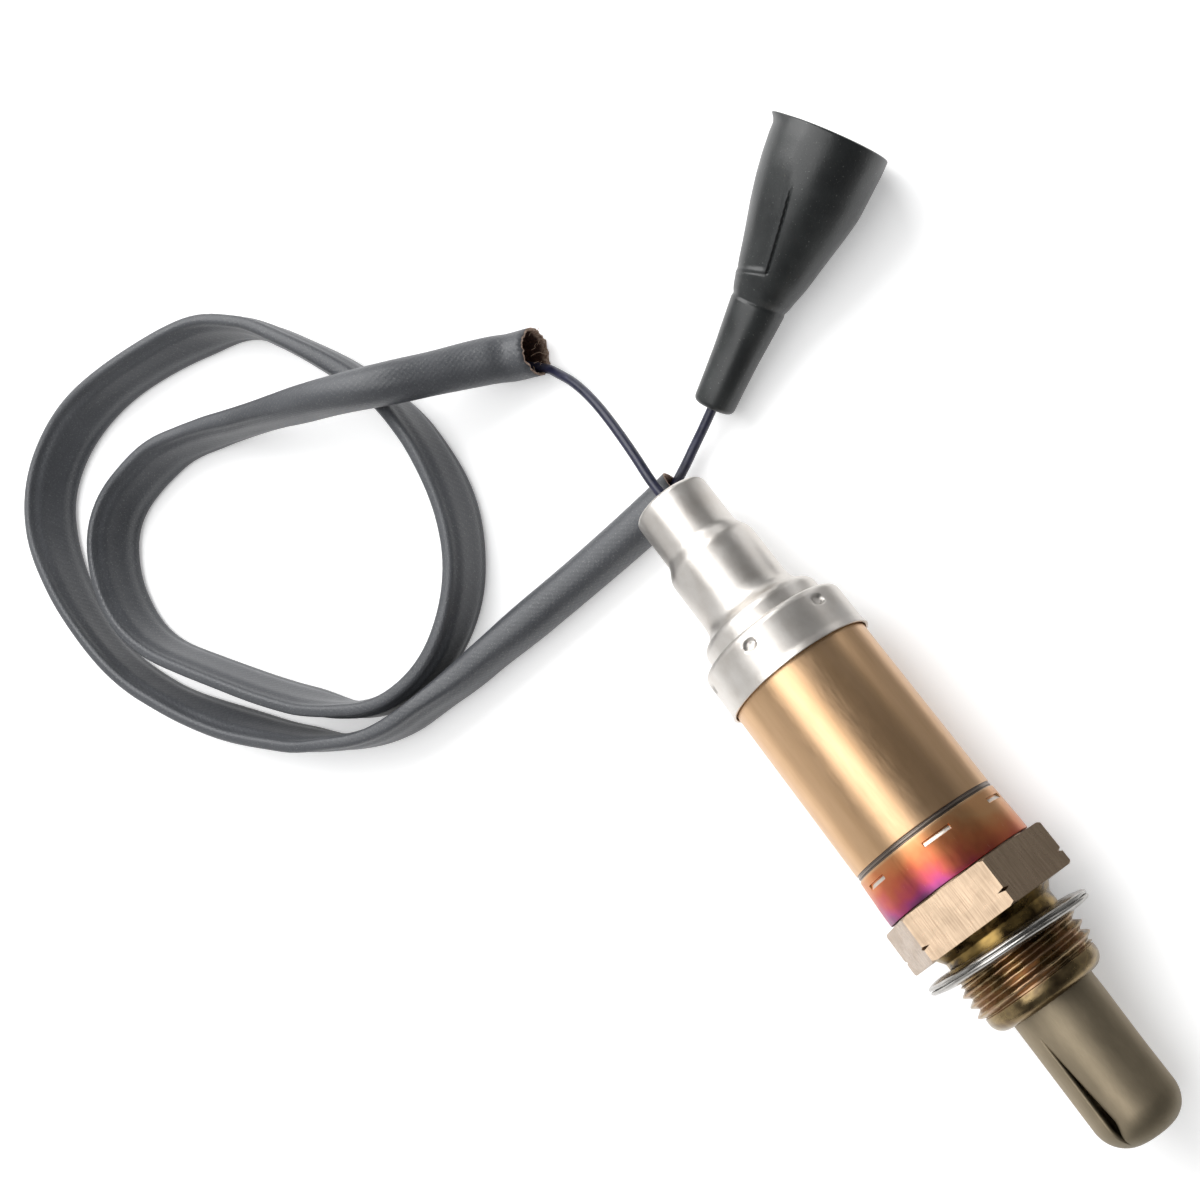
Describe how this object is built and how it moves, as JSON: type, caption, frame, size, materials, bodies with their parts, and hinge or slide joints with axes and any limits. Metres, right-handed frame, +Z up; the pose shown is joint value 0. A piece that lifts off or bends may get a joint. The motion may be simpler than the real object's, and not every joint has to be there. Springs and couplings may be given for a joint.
{
  "type": "oxygen sensor",
  "caption": "Threaded exhaust oxygen sensor with hexagon, loose gasket, slotted nose tube, tinted sleeve, stepped cap, sleeved lead and rubber boot.",
  "frame": {"origin": "on the table, under the middle of the sensor's length, on its axis", "axes": "+X along the sensor's axis towards its nose, +Z up from the table, the lead lies towards -X and -Y"},
  "size_m": [0.1962, 0.156, 0.0236],
  "materials": {
    "housing_steel": "brushed, warm bronze tone, darker on the thread",
    "gasket_steel": "satin stainless sheet",
    "tube_steel": "matte, heat darkened",
    "sleeve_steel": "satin, straw to violet heat tint",
    "cap_steel": "satin",
    "inner_steel": "plain turned steel",
    "terminal_metal": "plated",
    "ceramic": "fired, matte",
    "packing_powder": "pressed powder",
    "grommet_rubber": "matte",
    "boot_rubber": "matte, dusty",
    "lead_insulation": "smooth, dark blue-grey",
    "sleeving_braid": "coated glass-fibre braid"
  },
  "bodies": {
    "root": {"housing": "housing_steel", "gasket": "gasket_steel", "protection_tube": "tube_steel", "sensor_ceramic": "ceramic", "seal_ring": "inner_steel", "powder_packing": "packing_powder", "pressure_ring": "inner_steel", "contact_element": "inner_steel", "support_tube": "ceramic", "disc_spring": "inner_steel", "protective_sleeve": "sleeve_steel", "end_cap": "cap_steel", "insulating_bush": "ceramic", "terminal_crimp": "terminal_metal", "grommet": "grommet_rubber", "boot": "boot_rubber", "boot_terminal": "terminal_metal", "lead_wire": "lead_insulation", "sleeving": "sleeving_braid"}
  },
  "joints": []
}
